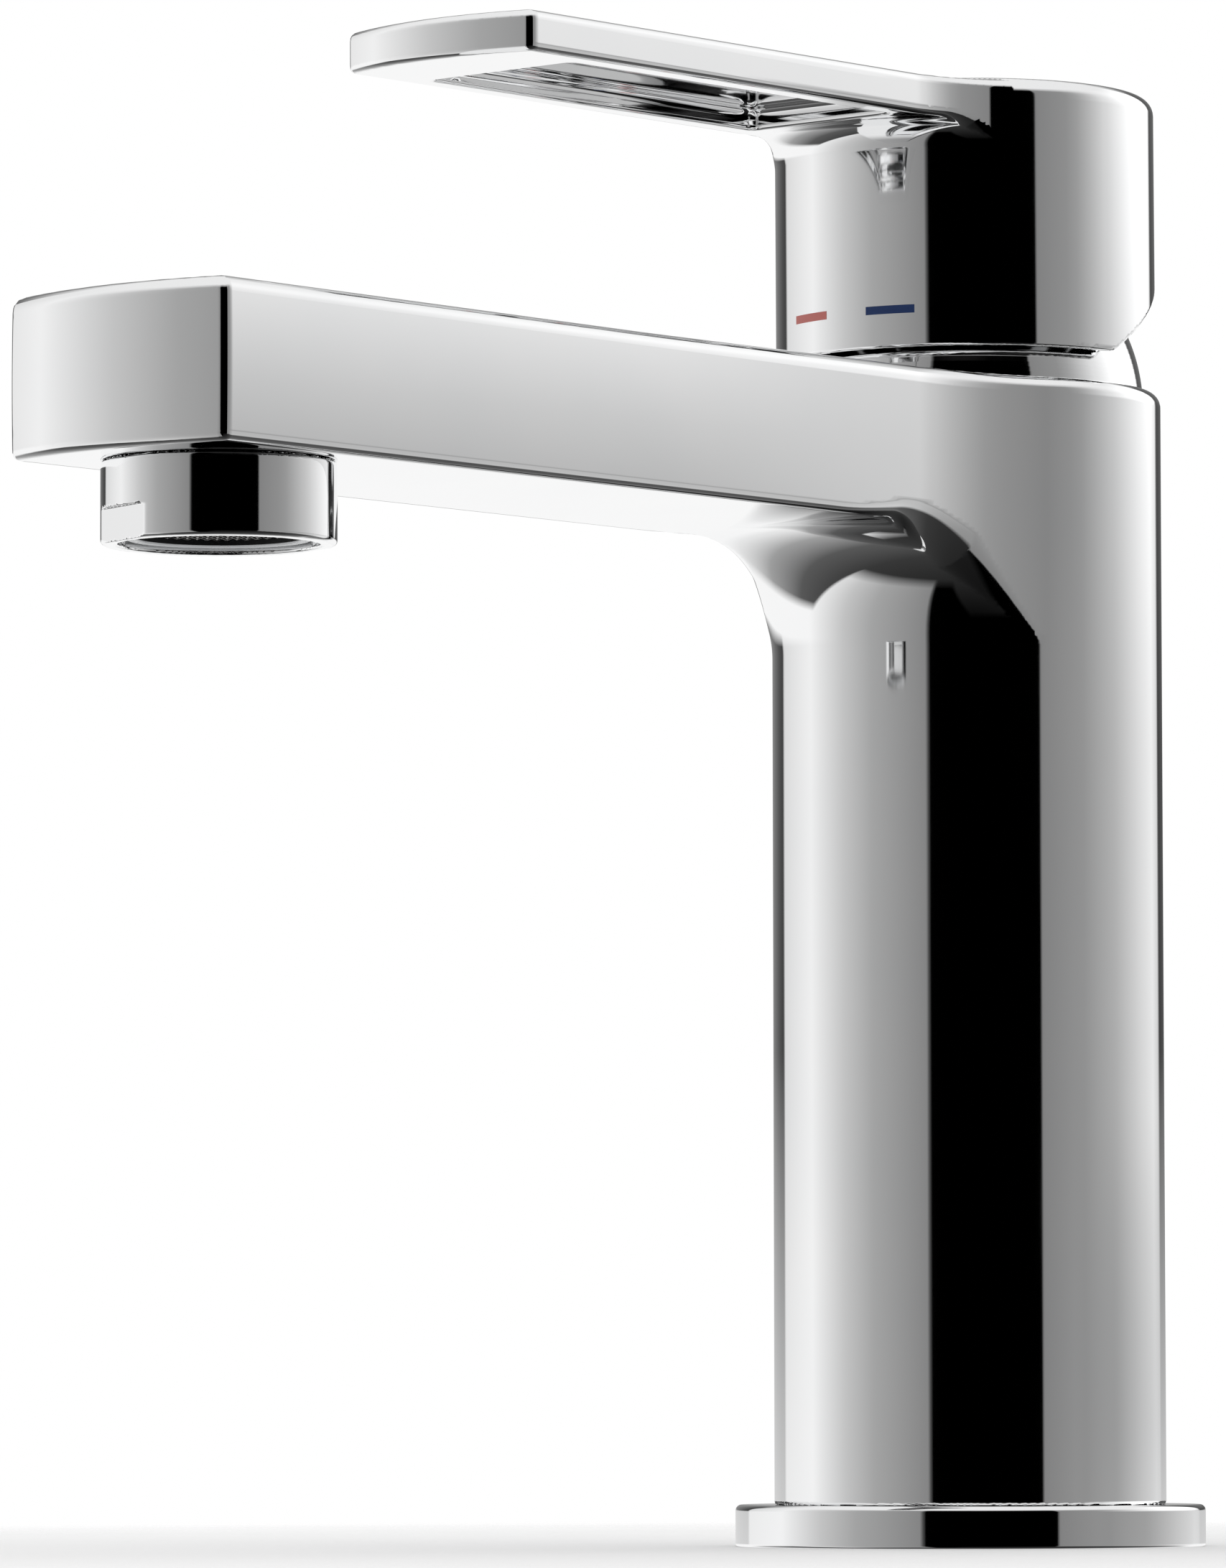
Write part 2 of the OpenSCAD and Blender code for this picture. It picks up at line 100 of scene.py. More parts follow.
# Water way along the spout, and the aerator's bore and collar
AERATOR_Y = (collar_low[1] + collar_high[1]) / 2
AERATOR_BORE_R, AERATOR_BORE_H = 12.0, 8.0
CHANNEL_Y, CHANNEL_Z = (AERATOR_Y - 6, -SEAT_R - 12), SPOUT_Z + 3.2
CHANNEL_HALF_W, CHANNEL_H = 13.0, 10.6
RISER_START = (0, -SEAT_R + 2, SEAT_Z + 9.5)           # in the cartridge's seat
RISER_END, RISER_R = (0, -SEAT_R - 15, CHANNEL_Z + 4.5), 3.4
COLLAR_R = collar_high[0]
FLAT_FROM_AXIS, FLAT_H = 11.6, 3.6  # the two wrench flats
FLAT_TURN = math.radians(-17)
MOUTH_R, LIP_R, LIP_H = 10.7, 10.0, 1.0     # the collar's mouth and the lip that holds the insert
LIP_Z = collar_low[2] + 1.3

# Dome collar, centred on the pivot of the stem
PIVOT_Z = COLUMN_TOP - 1.6
DOME_R = dome_high[0]
DOME_MOUTH_R = 13.0

# Handle: round skirt, flat lever with a pocket below, and the hub that grips the stem
SKIRT_R = -body_low[0] - 0.55
SKIRT_WALL_R = SKIRT_R - 1.1
SKIRT_Z, HANDLE_TOP = COLUMN_TOP + 3.4, COLUMN_TOP + 34.2
LEVER_DIP = math.radians(0.3)      # the closed lever dips towards its tip, about the pivot
SKIRT_RIM = 2.0
PLATE_T = 4.0                      # over the skirt's hollow
LEVER_REACH = 93.6
LEVER_HALF_W = 13.5
LEVER_TOP = HANDLE_TOP - 0.4
LEVER_Z = HANDLE_TOP - 5.0
LEVER_END_R = 38.0
LEVER_RADII = (1.0, 0.8, 0.8)      # top rim, bottom rim, front corners
LEVER_SIDE_FILLET = 20.0
LEVER_UNDER_FILLET = 3.0
POCKET_HALF_W, POCKET_DEPTH = 10.3, 2.4
POCKET_Y = (12.5 - LEVER_REACH, -SKIRT_R - 4.0)
REAR_CUT = math.radians(31.5)      # the skirt's foot rises behind, to give room to tip
HUB_HALF_W, HUB_Z, HUB_TOP = 7.5, PIVOT_Z + DOME_R + 0.6, HANDLE_TOP - 2
HUB_SOFT = 0.8                     # its edges, and its fillets to the skirt and the boss
SOCKET_HALF_W, SOCKET_TOP = 5.55, HANDLE_TOP - 6.45
SCREW_Z, PLUG_R, PLUG_DEPTH = HANDLE_TOP - 10.2, 3.0, 2.0
BOSS_R = 4.4                       # round the set screw, from the hub to the skirt


# ---- Distance fields: below zero inside the metal ----

def join(a, b, radius):
    """The union of two solids, with a hollow fillet of that radius between them."""
    near_a, near_b = np.maximum(radius - a, 0), np.maximum(radius - b, 0)
    return np.maximum(radius, np.minimum(a, b)) - np.hypot(near_a, near_b)


def overlap(a, b, radius):
    """The intersection of two solids, with an edge rounded to that radius."""
    near_a, near_b = np.maximum(radius + a, 0), np.maximum(radius + b, 0)
    return np.minimum(-radius, np.maximum(a, b)) + np.hypot(near_a, near_b)


def cut(solid, tool, radius=0.3):
    """The solid without the tool's space, with a rounded edge."""
    return overlap(solid, -tool, radius)


def prism(plan, z, z0, z1, top_radius, bottom_radius):
    """Distance to an upright prism with rounded rims."""
    level = z - (z0 + z1) / 2
    radius = np.where(level > 0, top_radius, bottom_radius)
    side = plan + radius
    lift = np.abs(level) - (z1 - z0) / 2 + radius
    out = np.hypot(np.maximum(side, 0), np.maximum(lift, 0))
    return out + np.minimum(np.maximum(side, lift), 0) - radius


def arm_plan(x, y, half_w, reach, end_r, corner, column_r, fillet):
    """Distance in plan to an arm along -Y: a shallow arc for its end, hollow corners at its root."""
    side = np.abs(x)
    end = np.hypot(x, np.minimum(y - end_r + reach, 0)) - end_r
    straight = overlap(side - half_w, end, corner)
    cx = half_w + fillet
    cy = -math.sqrt((column_r + fillet) ** 2 - cx ** 2)
    hollow = fillet - np.hypot(side - cx, y - cy)
    away = (y * cx - side * cy) / (column_r + fillet)
    along = (side * cx + y * cy) / (column_r + fillet)
    beyond = np.hypot(away, np.maximum(along - column_r, 0))
    return np.where(y < cy, straight, np.where(away < 0, hollow, beyond))


def cast(plan, column, z, z0, z1, radii, under_fillet):
    """An arm cast on to a round column: its sides run on down as a web that is hollowed below."""
    top_rim, bottom_rim = radii
    hollowed = join(z0 - z, column, under_fillet)
    rim = np.clip(column, 0.05, bottom_rim)        # it sharpens where the web runs out
    arm = overlap(overlap(hollowed, plan, rim), z - z1, top_rim)
    return np.minimum(arm, column)


def bore(x, y, z, at, radius, z0, z1, rim=0.2):
    """Distance to an upright round bore."""
    return prism(np.hypot(x - at[0], y - at[1]) - radius, z, z0, z1, rim, rim)


def block(x, y, z, low, high, corner):
    """Distance to a box between two corners, with rounded upright edges and rims."""
    mid, half = (np.array(low) + high) / 2, (np.array(high) - low) / 2
    plan = overlap(np.abs(x - mid[0]) - half[0], np.abs(y - mid[1]) - half[1], corner)
    return prism(plan, z, low[2], high[2], corner, corner)


def rod(x, y, z, start, end, radius):
    """Distance to a round rod with ball ends, from one point to another."""
    start, way = np.array(start), np.array(end) - start
    along = ((x - start[0]) * way[0] + (y - start[1]) * way[1] + (z - start[2]) * way[2])
    along = np.clip(along / way.dot(way), 0, 1)
    dx, dy, dz = (c - s - along * w for c, s, w in zip((x, y, z), start, way))
    return np.sqrt(dx * dx + dy * dy + dz * dz) - radius


def smooth_step(value, start, end):
    """0 before the start, 1 past the end, and an S between them."""
    t = np.clip((value - start) / (end - start), 0, 1)
    return t * t * (3 - 2 * t)


def body_field(x, y, z):
    """The one casting of column and spout, with its water ways and hose bay."""
    rho = np.hypot(x, y)
    top_rim, bottom_rim, corner = SPOUT_RADII
    top = SPOUT_TOP + (COLUMN_TOP - SPOUT_TOP) * smooth_step(y, *SPOUT_RISE_Y)
    plan = arm_plan(x, y, SPOUT_HALF_W, SPOUT_REACH, SPOUT_END_R, corner, COLUMN_R, SIDE_FILLET)
    from_middle = np.clip(z, SPOUT_Z, SPOUT_TOP) - (SPOUT_TOP + SPOUT_Z) / 2
    plan = plan + SPOUT_CROWN * from_middle ** 2 * (1 - smooth_step(y, *SPOUT_RISE_Y))
    column = prism(rho - COLUMN_R, z, ring_high[2], COLUMN_TOP, COLUMN_RIM, 0.3)
    root_rim = bottom_rim + SPOUT_ROOT_SOFT * smooth_step(y, *SPOUT_ROOT_Y)
    outer = cast(plan, column, z, SPOUT_Z, top, (top_rim, root_rim), UNDER_FILLET)
    outer = join(outer, bore(x, y, z, (0, 0), SPIGOT_R, body_low[2], ring_high[2] + 1), 0.1)
    channel = block(x, y, z, (-CHANNEL_HALF_W, CHANNEL_Y[0], CHANNEL_Z),
                    (CHANNEL_HALF_W, CHANNEL_Y[1], CHANNEL_Z + CHANNEL_H), 0.8)
    side = np.abs(x)
    tools = [
        bore(x, y, z, (0, 0), BAY_R, -PAST, BAY_TOP),
        bore(side, y, z, (INLET_X, INLET_Y), HOSE_THREAD_R, BAY_TOP - 1, HOSE_THREAD_TOP),
        bore(side, y, z, (INLET_X, INLET_Y), INLET_R, BAY_TOP, SEAT_Z + 1),
        bore(x, y, z, (0, STUD_Y), STUD_R, BAY_TOP - 1, STUD_TOP),
        bore(x, y, z, (0, 0), SEAT_R, SEAT_Z, COLUMN_TOP + PAST),
        bore(x, y, z, (0, 0), NUT_THREAD_R, NUT_THREAD_Z, COLUMN_TOP + PAST),
        bore(x, y, z, (0, AERATOR_Y), AERATOR_BORE_R, SPOUT_Z - PAST, SPOUT_Z + AERATOR_BORE_H),
        rod(x, y, z, RISER_START, RISER_END, RISER_R),
        channel,
    ]
    return cut(outer, reduce(np.minimum, tools))


def handle_field(x, y, z):
    """The one casting of skirt and lever, open below for the dome, dipped about the pivot."""
    c, s = math.cos(LEVER_DIP), math.sin(LEVER_DIP)
    y, z = y * c + (z - PIVOT_Z) * s, PIVOT_Z + (z - PIVOT_Z) * c - y * s
    rho = np.hypot(x, y)
    top_rim, bottom_rim, corner = LEVER_RADII
    plan = arm_plan(x, y, LEVER_HALF_W, LEVER_REACH, LEVER_END_R, corner, SKIRT_R, LEVER_SIDE_FILLET)
    skirt = prism(rho - SKIRT_R, z, SKIRT_Z, HANDLE_TOP, SKIRT_RIM, 0.3)
    solid = cast(plan, skirt, z, LEVER_Z, LEVER_TOP, (top_rim, bottom_rim), LEVER_UNDER_FILLET)
    inside = prism(rho - SKIRT_WALL_R, z, SKIRT_Z - PAST, HANDLE_TOP - PLATE_T, 1.5, 0.3)
    pocket = block(x, y, z, (-POCKET_HALF_W, POCKET_Y[0], LEVER_Z - PAST),
                   (POCKET_HALF_W, POCKET_Y[1], LEVER_Z + POCKET_DEPTH), 1.2)
    solid = cut(cut(solid, inside), pocket, 0.5)
    hub = block(x, y, z, (-HUB_HALF_W, -HUB_HALF_W, HUB_Z), (HUB_HALF_W, HUB_HALF_W, HUB_TOP), HUB_SOFT)
    boss = rod(x, y, z, (0, HUB_HALF_W - 1, SCREW_Z), (0, SKIRT_WALL_R, SCREW_Z), BOSS_R)
    boss = overlap(boss, rho - SKIRT_WALL_R - 0.3, 0.1)
    solid = join(solid, join(hub, boss, HUB_SOFT), HUB_SOFT)
    rear = (z - SKIRT_Z) * math.cos(REAR_CUT) - y * math.sin(REAR_CUT)
    solid = cut(solid, rear, 0.35)
    socket = block(x, y, z, (-SOCKET_HALF_W, -SOCKET_HALF_W, HUB_Z - PAST),
                   (SOCKET_HALF_W, SOCKET_HALF_W, SOCKET_TOP), 0.3)
    hole = overlap(np.hypot(x, z - SCREW_Z) - PLUG_R + 0.5, -y, 0.1)
    seat = overlap(np.hypot(x, z - SCREW_Z) - PLUG_R, SKIRT_R - PLUG_DEPTH - y, 0.1)
    return cut(solid, reduce(np.minimum, (socket, hole, seat)), 0.15)


def collar_field(x, y, z):
    """The aerator's screwed collar with its two wrench flats, around its own axis."""
    rho = np.hypot(x, y)
    shoulder = SPOUT_Z - 0.1
    solid = prism(rho - COLLAR_R, z, collar_low[2], shoulder, 0.25, 0.55)
    neck = prism(rho - AERATOR_BORE_R + 0.05, z, SPOUT_Z - 1, collar_high[2], 0.3, 0.3)
    solid = join(solid, neck, 0.15)
    under, over = collar_low[2] - PAST, collar_high[2] + PAST
    tools = [
        prism(rho - LIP_R, z, under, over, 0.1, 0.1),
        prism(rho - MOUTH_R, z, under, LIP_Z, 0.1, 0.1),
        prism(rho - MOUTH_R, z, LIP_Z + LIP_H, over, 0.1, 0.1),
    ]
    across = np.abs(y * math.cos(FLAT_TURN) - x * math.sin(FLAT_TURN))
    flat = overlap(FLAT_FROM_AXIS - across, z - collar_low[2] - FLAT_H, 0.12)
    for tool in tools:
        solid = cut(solid, tool, 0.18)
    return cut(solid, flat, 0.1)


# ---- Meshes ----

FIELD_LIMIT = 4.0                  # a field is only meshed near its surface
SETTLE_STEPS, SETTLE_MOST = 4, 0.2  # how often, and how far at most, a vertex moves to the surface


def axis(*stretches):
    """Sample places along one axis: each stretch is (start, end, step)."""
    places = [np.arange(start, end, step) for start, end, step in stretches]
    return np.concatenate(places + [[stretches[-1][1]]])


def slope(field, points, step=0.01):
    """The field's gradient at the points."""
    columns = []
    for k in range(3):
        shift = np.zeros(3)
        shift[k] = step
        ahead, behind = (points + shift).T, (points - shift).T
        columns.append((field(*ahead) - field(*behind)) / (2 * step))
    return np.stack(columns, 1)


def new_object(name, points, faces, normals=None, centre=(0, 0, 0)):
    """A smooth-shaded object from points in millimetres."""
    mesh = bpy.data.meshes.new(name)
    mesh.from_pydata(((points + np.array(centre)) * MM).tolist(), [], faces)
    mesh.polygons.foreach_set("use_smooth", np.ones(len(mesh.polygons), bool))
    mesh.update()
    if normals is not None:
        mesh.normals_split_custom_set_from_vertices(normals.tolist())
    obj = bpy.data.objects.new(name, mesh)
    bpy.context.scene.collection.objects.link(obj)
    return obj


def cast_mesh(name, field, axes, centre=(0, 0, 0)):
    """Meshes a field: each vertex is set on the true surface, with the true normal."""
    values = field(*np.meshgrid(*axes, indexing="ij", sparse=True))
    grid = openvdb.FloatGrid(FIELD_LIMIT)
    grid.copyFromArray(np.clip(values, -FIELD_LIMIT, FIELD_LIMIT).astype(np.float32))
    index, quads = grid.convertToQuads(isovalue=0)
    points = np.stack([np.interp(index[:, k], np.arange(len(axes[k])), axes[k]) for k in range(3)], 1)
    for _ in range(SETTLE_STEPS):
        steep = slope(field, points)
        move = steep * (field(*points.T) / np.maximum((steep ** 2).sum(1), 0.05))[:, None]
        points -= np.clip(move, -SETTLE_MOST, SETTLE_MOST)
    normals = slope(field, points)
    normals /= np.maximum(np.linalg.norm(normals, axis=1), 1e-9)[:, None]
    some = quads[:400].astype(int)
    across, over = points[some[:, 2]] - points[some[:, 0]], points[some[:, 3]] - points[some[:, 1]]
    if (np.cross(across, over) * normals[some[:, 0]]).sum() < 0:
        quads = quads[:, ::-1]
    return new_object(name, points, quads.tolist(), normals, centre)


def turned_profile(outline, steps=6):
    """Points and normals round a closed (radius, z, corner radius) outline, listed anticlockwise."""
    points, normals = [], []
    count = len(outline)
    for k, (r, z, radius) in enumerate(outline):
        here = np.array([r, z])
        before = here - outline[k - 1][:2]
        after = np.array(outline[(k + 1) % count][:2]) - here
        before, after = before / np.hypot(*before), after / np.hypot(*after)
        n0, n1 = np.array([before[1], -before[0]]), np.array([after[1], -after[0]])
        bend = math.atan2(before[0] * after[1] - before[1] * after[0], before.dot(after))
        back = radius * abs(math.tan(bend / 2))
        centre = here - before * back - n0 * radius * np.sign(bend)
        for step in range(steps + 1):
            turn = bend * step / steps
            normal = n0 * math.cos(turn) + np.array([-n0[1], n0[0]]) * math.sin(turn)
            points.append(centre + normal * radius * np.sign(bend))
            normals.append(normal)
    return np.array(points), np.array(normals)


def turned(name, outline, centre=(0, 0, 0), segments=192, steps=6):
    """A turned part: the outline is swept once round Z."""
    points, normals = turned_profile(outline, steps)
    turn = np.linspace(0, 2 * math.pi, segments, endpoint=False)
    c, s = np.cos(turn)[:, None], np.sin(turn)[:, None]

    def spin(pairs):
        z = np.broadcast_to(pairs[:, 1], (segments, len(pairs)))
        return np.stack([c * pairs[:, 0], s * pairs[:, 0], z], 2).reshape(-1, 3)

    rows = len(points)
    faces = []
    for i in range(segments):
        a, b = i * rows, (i + 1) % segments * rows
        for j in range(rows):
            k = (j + 1) % rows
            faces.append((a + j, b + j, b + k, a + k))
    return new_object(name, spin(points), faces, spin(normals), centre)


def tube(route, radius, sides=8):
    """Points and faces of a closed round tube along a route."""
    way = np.gradient(route, axis=0)
    way /= np.linalg.norm(way, axis=1)[:, None]
    across = np.cross(way, (0, 0, 1.0))
    across /= np.linalg.norm(across, axis=1)[:, None]
    over = np.cross(across, way)
    turn = np.linspace(0, 2 * math.pi, sides, endpoint=False)
    rings = route[:, None] + radius * (np.cos(turn)[None, :, None] * across[:, None]
                                       + np.sin(turn)[None, :, None] * over[:, None])
    faces = []
    for i in range(len(route) - 1):
        for j in range(sides):
            k = (j + 1) % sides
            faces.append((i * sides + j, i * sides + k, (i + 1) * sides + k, (i + 1) * sides + j))
    last = (len(route) - 1) * sides
    faces.append(tuple(range(sides))[::-1])
    faces.append(tuple(last + j for j in range(sides)))
    return rings.reshape(-1, 3), faces


STEPS_A_PITCH = 5


def woven_disc(name, radius, pitch, wire_r, height, turn, centre):
    """A round piece of plain-woven wire cloth."""
    points, faces, count = [], [], 0
    rows = int(radius / pitch)
    lift = wire_r * 1.02
    for layer in (0, 1):
        for row in range(-rows, rows + 1):
            offset = row * pitch
            half = math.sqrt(max(radius ** 2 - offset ** 2, 0))
            if half < pitch / 2:
                continue
            along = np.linspace(-half, half, max(int(half * 2 / pitch * STEPS_A_PITCH), 6))
            wave = np.cos(math.pi * (along / pitch + row + layer)) * lift
            if layer:
                route = np.stack([along, np.full_like(along, offset), height + wave], 1)
            else:
                route = np.stack([np.full_like(along, offset), along, height + wave], 1)
            wire, wire_faces = tube(route, wire_r)
            points.append(wire)
            faces += [tuple(count + v for v in face) for face in wire_faces]
            count += len(wire)
    points = np.concatenate(points)
    c, s = math.cos(turn), math.sin(turn)
    points = points @ np.array([[c, s, 0], [-s, c, 0], [0, 0, 1]])
    return new_object(name, points, faces, None, centre)


def place(piece, body, node, slot, *materials):
    """Rides the piece on its body in place of a CAD node, with its finish."""
    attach(piece, body)
    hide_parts(node)
    for material in materials:
        piece.data.materials.append(material)
    return piece


# ---- Materials ----

def new_material(name):
    """A material, its node tree and its Principled shader."""
    material = bpy.data.materials.new("finish_" + name)
    material.use_nodes = True
    tree = material.node_tree
    return material, tree, tree.nodes["Principled BSDF"]


def set_sockets(shader, **values):
    """Sets the shader's inputs by name, with _ for a space."""
    for name, value in values.items():
        shader.inputs[name.replace("_", " ")].default_value = value


def noise(tree, scale, detail=3.0, stretch=(1, 1, 1)):
    """The fine value of a noise over the object's own coordinates."""
    place_in = tree.nodes.new("ShaderNodeTexCoord")
    mapping = tree.nodes.new("ShaderNodeMapping")
    texture = tree.nodes.new("ShaderNodeTexNoise")
    mapping.inputs["Scale"].default_value = stretch
    texture.inputs["Scale"].default_value = scale
    texture.inputs["Detail"].default_value = detail
    tree.links.new(place_in.outputs["Object"], mapping.inputs["Vector"])
    tree.links.new(mapping.outputs["Vector"], texture.inputs["Vector"])
    return texture.outputs["Fac"]


def ramp(tree, value, stops):
    """A colour ramp: each stop is (position, colour)."""
    node = tree.nodes.new("ShaderNodeValToRGB")
    elements = node.color_ramp.elements
    while len(elements) < len(stops):
        elements.new(0.5)
    for element, (position, colour) in zip(elements, stops):
        element.position = position
        element.color = (*colour, 1)
    tree.links.new(value, node.inputs["Fac"])
    return node.outputs["Color"]


def span(tree, value, low, high, given=(0.0, 1.0)):
    """The value mapped from the given range to low..high."""
    node = tree.nodes.new("ShaderNodeMapRange")
    node.inputs["From Min"].default_value, node.inputs["From Max"].default_value = given
    node.inputs["To Min"].default_value = low
    node.inputs["To Max"].default_value = high
    tree.links.new(value, node.inputs["Value"])
    return node.outputs["Result"]


def bump(tree, shader, height, strength, distance):
    """A relief of that height in metres on the shader's surface."""
    node = tree.nodes.new("ShaderNodeBump")
    node.inputs["Strength"].default_value = strength
    node.inputs["Distance"].default_value = distance
    tree.links.new(height, node.inputs["Height"])
    tree.links.new(node.outputs["Normal"], shader.inputs["Normal"])


def chrome():
    """Bright chrome plate over polished brass: clear, with the faintest polishing haze."""
    material, tree, shader = new_material("chrome_plate")
    set_sockets(shader, Metallic=1.0)
    tone = ramp(tree, noise(tree, 60, 2), [(0.3, (0.945, 0.95, 0.955)), (0.7, (0.965, 0.966, 0.968))])
    tree.links.new(tone, shader.inputs["Base Color"])
    haze = noise(tree, 400, 4, (1, 1, 0.15))
    tree.links.new(span(tree, haze, 0.02, 0.065), shader.inputs["Roughness"])
    bump(tree, shader, noise(tree, 35, 1), 0.02, 0.0002)
    return material


def brushed_metal(name, low, high, rough, grain=900, stretch=(1, 1, 6)):
    """Machined metal: fine lines round or along the part, and a slight stain."""
    material, tree, shader = new_material(name)
    set_sockets(shader, Metallic=1.0)
    tone = ramp(tree, noise(tree, 120, 4), [(0.25, low), (0.75, high)])
    tree.links.new(tone, shader.inputs["Base Color"])
    lines = noise(tree, grain, 3, stretch)
    tree.links.new(span(tree, lines, rough * 0.7, rough * 1.4), shader.inputs["Roughness"])
    bump(tree, shader, lines, 0.15, 0.00002)
    return material


def moulded(name, low, high, rough, texture_scale=1400, depth=0.00002):
    """Moulded plastic, rubber or glazed ceramic: a slight mottle and a fine skin."""
    material, tree, shader = new_material(name)
    set_sockets(shader, Metallic=0.0)
    tone = ramp(tree, noise(tree, 90, 3), [(0.3, low), (0.7, high)])
    tree.links.new(tone, shader.inputs["Base Color"])
    skin = noise(tree, texture_scale, 3)
    tree.links.new(span(tree, skin, rough * 0.8, min(rough * 1.2, 1)), shader.inputs["Roughness"])
    bump(tree, shader, skin, 0.25, depth)
    return material


FINISHES = {
    "chrome": chrome(),
    "brass": brushed_metal("machined_brass", (0.62, 0.42, 0.16), (0.78, 0.56, 0.25), 0.28),
    "steel": brushed_metal("stainless_steel", (0.42, 0.42, 0.43), (0.56, 0.56, 0.57), 0.2),
    "zinc": brushed_metal("die_cast_zinc", (0.36, 0.37, 0.39), (0.48, 0.49, 0.51), 0.4, 300, (1, 1, 1)),
    "rubber": moulded("black_rubber", (0.012, 0.012, 0.013), (0.03, 0.03, 0.032), 0.7),
    "white_plastic": moulded("white_plastic", (0.72, 0.72, 0.69), (0.8, 0.8, 0.77), 0.38),
    "blue_plastic": moulded("blue_plastic", (0.05, 0.14, 0.33), (0.08, 0.19, 0.41), 0.36),
    "insert_plastic": moulded("grey_plastic", (0.5, 0.51, 0.52), (0.6, 0.61, 0.62), 0.25),
    "ceramic": moulded("ceramic", (0.74, 0.72, 0.66), (0.82, 0.8, 0.75), 0.12, 900, 0.000004),
    "hot_enamel": moulded("hot_enamel", (0.54, 0.13, 0.11), (0.62, 0.17, 0.14), 0.3, 2500),
    "cold_enamel": moulded("cold_enamel", (0.002, 0.022, 0.105), (0.004, 0.032, 0.14), 0.3, 2500),
}
# Painted shade: near-black plastic for the insert's inner faces behind the gauze, standing in for the
# shade in that recess.
PAINTED_SHADE_CORE = moulded("painted_shade_black", (0.004, 0.004, 0.005), (0.01, 0.01, 0.011), 0.5)
WIRE = brushed_metal("gauze_wire", (0.3, 0.29, 0.28), (0.42, 0.41, 0.4), 0.25, 2000, (1, 1, 1))


def finish_nodes():
    """Gives every CAD node the finish of its material slot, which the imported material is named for."""
    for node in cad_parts.values():
        for part in node.material_slots:
            part.material = FINISHES[part.material.name.split(".")[0]]


# ---- Pieces ----

def make_body():
    """The casting of column and spout, meshed finely only where it curves."""
    tip_end = AERATOR_Y + 15
    x = axis((-COLUMN_R - 1, COLUMN_R + 1.4, 0.6))
    y = axis(
        (-SPOUT_REACH - 1, tip_end, 0.55),             # the spout's end and the aerator's bore
        (tip_end, -60, 2.4), (-60, -32, 1.0),
        (-32, -8, 0.45),                               # the spout's root
        (-8, COLUMN_R + 1.4, 0.7),
    )
    z = axis(
        (body_low[2] - 1, 8, 0.5), (8, 54, 4.6),
        (54, 61, 0.7), (61, 97, 3.0),                  # the hose bay's ceiling
        (97, SPOUT_Z + 2, 0.45),                       # the fillet under the spout
        (SPOUT_Z + 2, SPOUT_TOP - 3, 1.2), (SPOUT_TOP - 3, COLUMN_TOP + 1.2, 0.5),
    )
    piece = cast_mesh("body", body_field, (x, y, z))
    place(piece, "tap", "tap_body", "chrome", FINISHES["chrome"])


def make_handle():
    """The casting of skirt and lever, meshed finely but for the lever's straight stretch."""
    fine, straight = 0.42, (-78, -30)
    x = axis((-SKIRT_R - 1, SKIRT_R + 1.3, fine))
    y = axis((-LEVER_REACH - 1, straight[0], fine), (*straight, 1.2), (straight[1], SKIRT_R + 1.3, fine))
    z = axis((SKIRT_Z - 1.2, HANDLE_TOP + 1.4, fine))
    piece = cast_mesh("lever_handle", handle_field, (x, y, z))
    place(piece, "lever", "handle", "chrome", FINISHES["chrome"])


def make_base_ring():
    """The foot ring, with a groove for the gasket below."""
    inner, outer, top = SPIGOT_R + 0.05, ring_high[0], ring_high[2]
    groove_in, groove_out, groove_h = BAY_R + 2.2, outer - 2.2, 1.6
    outline = [
        (inner, 0, 0.2), (groove_in, 0, 0.2), (groove_in, groove_h, 0.1), (groove_out, groove_h, 0.1),
        (groove_out, 0, 0.2), (outer, 0, 0.35), (outer, top, 0.7), (inner, top, 0.3),
    ]
    place(turned("foot_ring", outline), "tap", "base_ring", "chrome", FINISHES["chrome"])


def make_dome():
    """A ball-shaped cap centred on the stem's pivot."""
    bottom, inner_r = COLUMN_TOP, DOME_R - 1

    def at(radius, z):
        return math.sqrt(radius ** 2 - (z - PIVOT_Z) ** 2)

    mouth_out = PIVOT_Z + math.sqrt(DOME_R ** 2 - DOME_MOUTH_R ** 2)
    mouth_in = PIVOT_Z + math.sqrt(inner_r ** 2 - DOME_MOUTH_R ** 2)
    outline = [(at(inner_r, bottom), bottom, 0.05), (at(DOME_R, bottom), bottom, 0.05)]
    for z in np.linspace(bottom, mouth_out, 26)[1:-1]:
        outline.append((at(DOME_R, z), z, 0.02))
    outline += [(DOME_MOUTH_R, mouth_out, 0.1), (DOME_MOUTH_R, mouth_in, 0.1)]
    for z in np.linspace(mouth_in, bottom, 20)[1:-1]:
        outline.append((at(inner_r, z), z, 0.02))
    place(turned("dome", outline, steps=1), "tap", "dome_collar", "chrome", FINISHES["chrome"])


def make_collar():
    """The aerator's collar."""
    margin, step = 0.5, 0.24
    across = axis((-COLLAR_R - margin, COLLAR_R + margin, step))
    z = axis((collar_low[2] - margin, collar_high[2] + margin, step))
    piece = cast_mesh("spout_collar", collar_field, (across, across, z), (0, AERATOR_Y, 0))
    place(piece, "tap", "aerator_collar", "chrome", FINISHES["chrome"])


